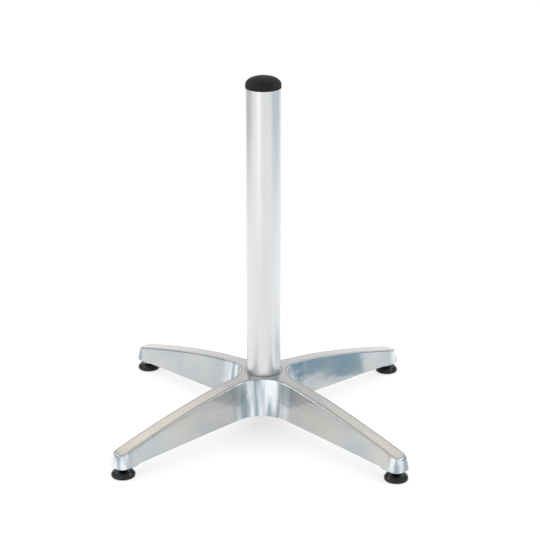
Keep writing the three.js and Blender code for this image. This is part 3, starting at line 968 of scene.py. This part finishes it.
def sky(world):
    """Soft white light from all round, dimmer and slightly warmer overhead than at the horizon."""
    world.use_nodes = True
    tree = world.node_tree
    background = tree.nodes["Background"]
    place = tree.nodes.new("ShaderNodeTexCoord")
    parts = tree.nodes.new("ShaderNodeSeparateXYZ")
    ramp = tree.nodes.new("ShaderNodeValToRGB")
    tree.links.new(place.outputs["Generated"], parts.inputs[0])
    tree.links.new(parts.outputs["Z"], ramp.inputs["Fac"])
    tree.links.new(ramp.outputs["Color"], background.inputs["Color"])
    ramp.color_ramp.elements[0].position = 0.0
    ramp.color_ramp.elements[0].color = (*HORIZON, 1)
    ramp.color_ramp.elements[1].position = 1.0
    ramp.color_ramp.elements[1].color = (*ZENITH, 1)
    background.inputs["Strength"].default_value = SKY_STRENGTH


def build_studio():
    """Pale floor, soft sky, cards that only reflections show, and soft lights aimed at the arms."""
    square = np.array([(-1, -1, 0), (1, -1, 0), (1, 1, 0), (-1, 1, 0)])
    floor = mesh_object("floor", (square * FLOOR_REACH / MM, [(0, 1, 2, 3)]), [pale_floor()])
    world = bpy.data.worlds.new("studio")
    bpy.context.scene.world = world
    sky(world)
    grey = studio_card("grey_card", (1.0, 1.0, 1.0), 0.52)
    blue = studio_card("blue_card", (0.60, 0.84, 1.0), 0.66)
    deep_blue = studio_card("deep_blue_card", (0.66, 0.88, 1.0), 0.70)
    white = studio_card("white_card", (1.0, 1.0, 1.0), 1.6)
    upright_card("left_card", 104, CARD_DISTANCE, 2.1, CARD_HEIGHT, grey)
    upright_card("left_strip", 27, CARD_DISTANCE, 0.8, CARD_HEIGHT, white)
    upright_card("right_card", -92, CARD_DISTANCE, 2.6, CARD_HEIGHT, blue)
    upright_card("low_card", -101, 0.34, 0.24, 0.07, deep_blue)
    arms = (0, 0, 0.1)
    area_light("left_softbox", (-2.0, 0.2, 1.35), arms, (1.3, 1.1), SOFTBOX_POWER)
    area_light("warm_softbox", (-0.95, 2.2, 1.9), arms, (0.9, 0.8), WARM_POWER, (1.0, 0.86, 0.66))
    area_light("right_softbox", (2.0, 0.2, 1.35), arms, (1.3, 1.1), SOFTBOX_POWER)
    area_light("back_softbox", (0.95, 2.2, 1.9), arms, (0.9, 0.8), BACK_POWER)
    bpy.context.scene.view_settings.view_transform = "Standard"


# ---------------------------------------------------------------- assembly

def build_object():
    polished, as_cast, tube = polished_casting(), as_cast_aluminium(), drawn_tube()
    zinc = turned_metal("zinc_plate", (0.42, 0.43, 0.44), (0.60, 0.61, 0.62), 0.28, 0.42)
    black_zinc = turned_metal("black_zinc", (0.012, 0.012, 0.014), (0.035, 0.035, 0.038), 0.30, 0.45)
    brass = turned_metal("turned_brass", (0.56, 0.41, 0.16), (0.72, 0.56, 0.25), 0.25, 0.38)
    cap_plastic = moulded_plastic("matt_cap", (0.010, 0.010, 0.0095), (0.016, 0.016, 0.015),
                                  0.55, 0.70, 0.00012, 0.12)
    foot_plastic = moulded_plastic("foot_plastic", (0.006, 0.006, 0.007), (0.012, 0.012, 0.013),
                                   0.14, 0.26, 0.00003, 0.3)
    sole_plastic = moulded_plastic("sole_plastic", (0.018, 0.018, 0.018), (0.035, 0.034, 0.033),
                                   0.50, 0.72, 0.0001)
    build_casting(polished, as_cast, groove_painted_shade())
    add_part("column_tube", column_tube(), "base", tube)
    add_part("column_cap", column_cap(), "base", cap_plastic)
    add_part("tie_rod", tie_rod(), "base", zinc)
    add_part("anchor_disc", washer("anchor_disc", ROD_CLEARANCE, 0.6), "base", zinc)
    for end in ("top", "bottom"):
        add_part(f"{end}_washer", washer(f"{end}_washer", ROD_CLEARANCE), "base", zinc)
        add_part(f"{end}_spring_washer", spring_washer(f"{end}_spring_washer"), "base", zinc)
        add_part(f"{end}_nut", nut(f"{end}_nut"), "base", zinc)
    for foot in FEET:
        add_part(f"{foot}_insert", foot_insert(f"{foot}_insert"), "base", brass)
        add_part(f"{foot}_stud", foot_stud(f"{foot}_stud"), f"{foot}_stud", black_zinc)
        add_part(f"{foot}_pad", foot_pad(f"{foot}_pad"), foot, foot_plastic)
        add_part(f"{foot}_sole", foot_sole(f"{foot}_sole"), foot, sole_plastic)


build_camera()
build_studio()
build_object()
